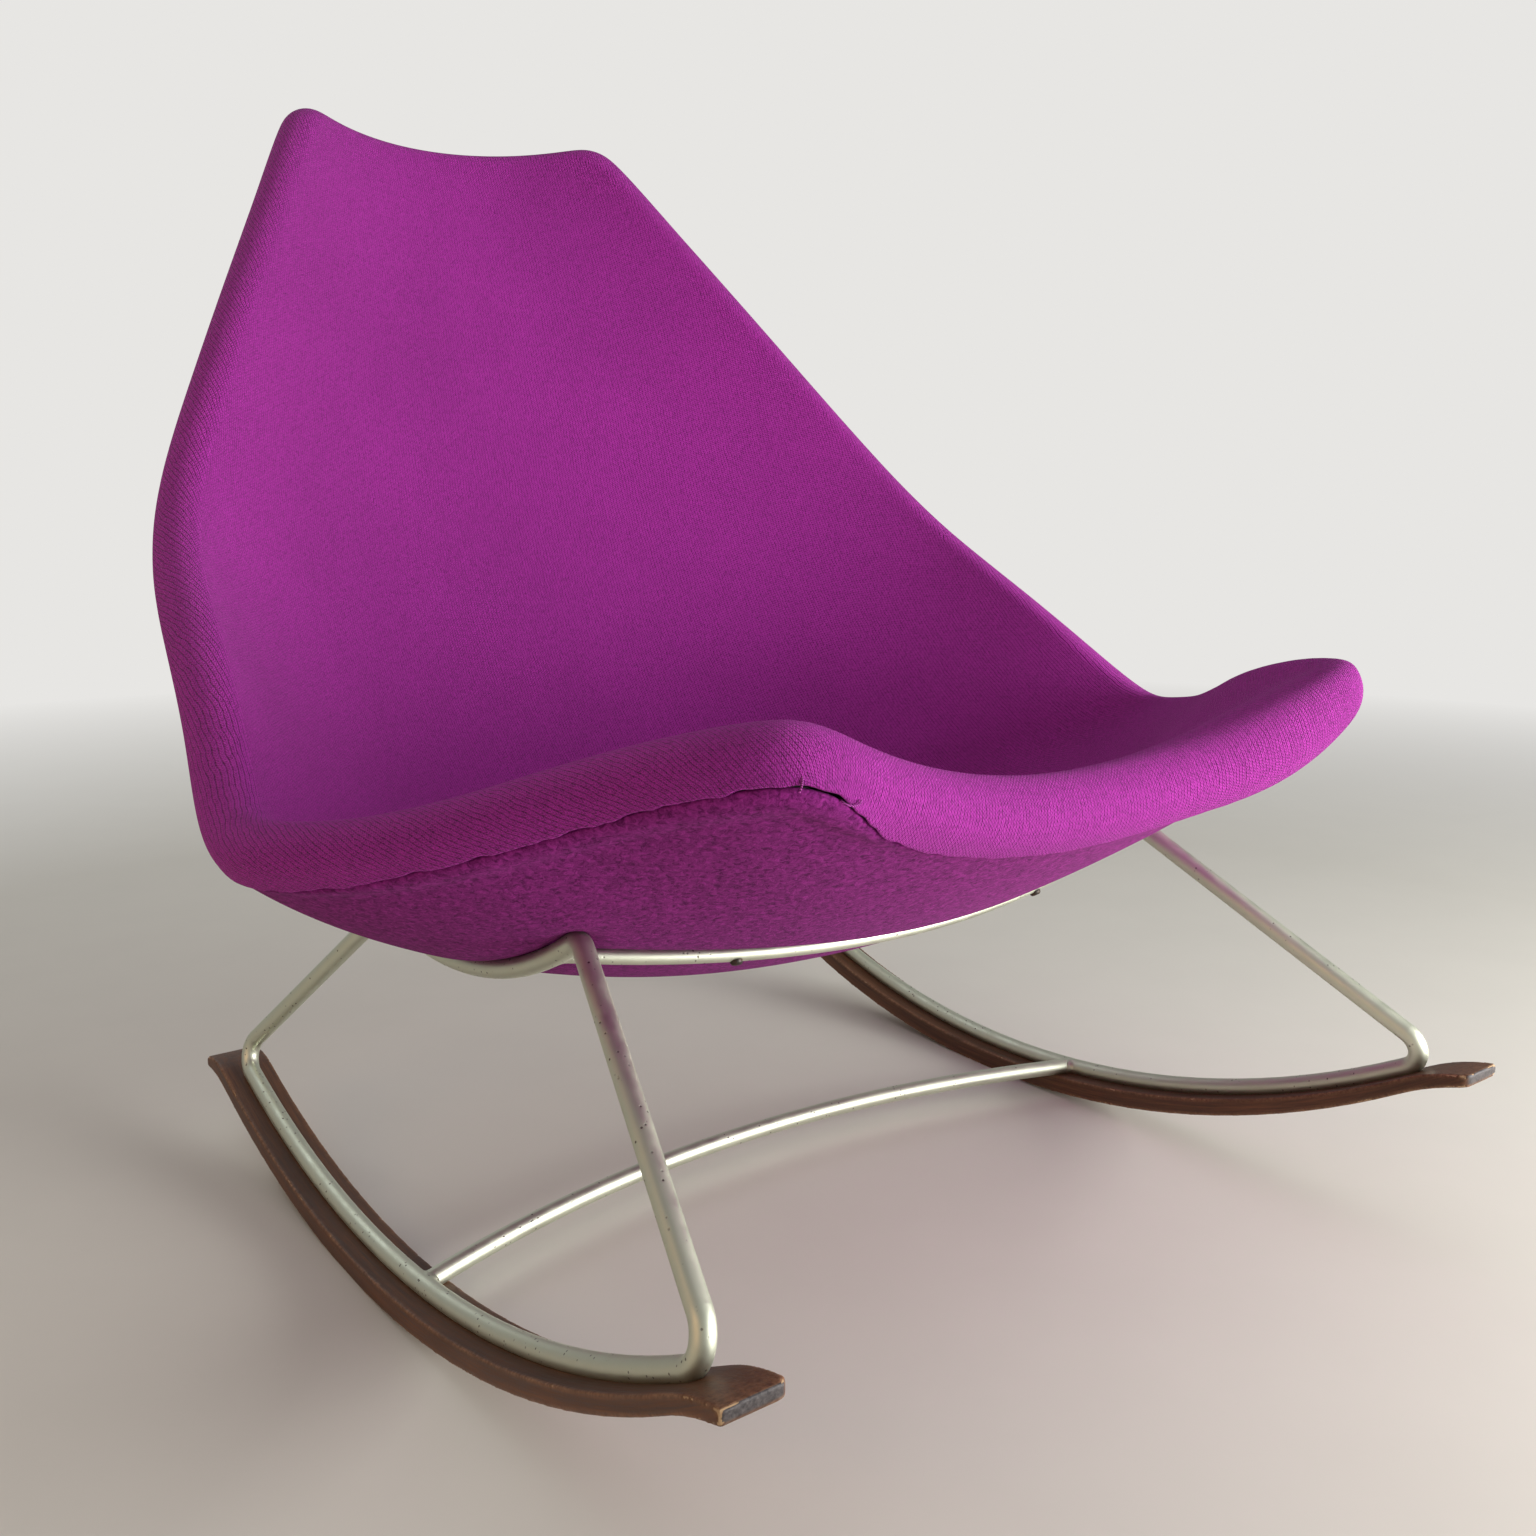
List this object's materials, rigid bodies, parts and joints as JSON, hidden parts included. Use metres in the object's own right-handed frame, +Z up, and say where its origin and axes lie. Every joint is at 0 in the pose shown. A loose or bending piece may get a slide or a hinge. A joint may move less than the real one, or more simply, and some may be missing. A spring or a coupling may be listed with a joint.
{
  "type": "upholstered rocking chair",
  "caption": "Low rocking chair: a padded bucket shell with a rolled, stretch-covered rim on bent steel rod side loops with curved wooden runners.",
  "frame": {"origin": "on the floor, midway between the two runners, under the line where they rest", "axes": "+Z up from the floor, -Y towards the front edge of the seat, +X towards the sitter's left"},
  "size_m": [0.8779, 1.0059, 0.8997],
  "materials": {
    "satin_steel": "satin",
    "dark_steel": "satin",
    "stained_wood": "satin",
    "moulded_shell": "matte",
    "foam": "matte",
    "knit_wool": "matte",
    "felted_wool": "matte"
  },
  "bodies": {
    "root": {"left_side_frame": "satin_steel", "right_side_frame": "satin_steel", "lower_stretcher": "satin_steel", "front_seat_bar": "satin_steel", "rear_seat_bar": "satin_steel", "front_bar_screws": "dark_steel", "rear_bar_screws": "dark_steel", "front_bar_spacers": "dark_steel", "rear_bar_spacers": "dark_steel", "front_shell_nuts": "dark_steel", "rear_shell_nuts": "dark_steel", "left_runner": "stained_wood", "right_runner": "stained_wood", "left_runner_screws": "dark_steel", "right_runner_screws": "dark_steel", "seat_shell": "moulded_shell", "seat_foam": "foam", "back_foam": "foam", "edge_roll": "foam", "underside_padding": "foam", "top_cover": "knit_wool", "underside_cover": "felted_wool"}
  },
  "joints": []
}
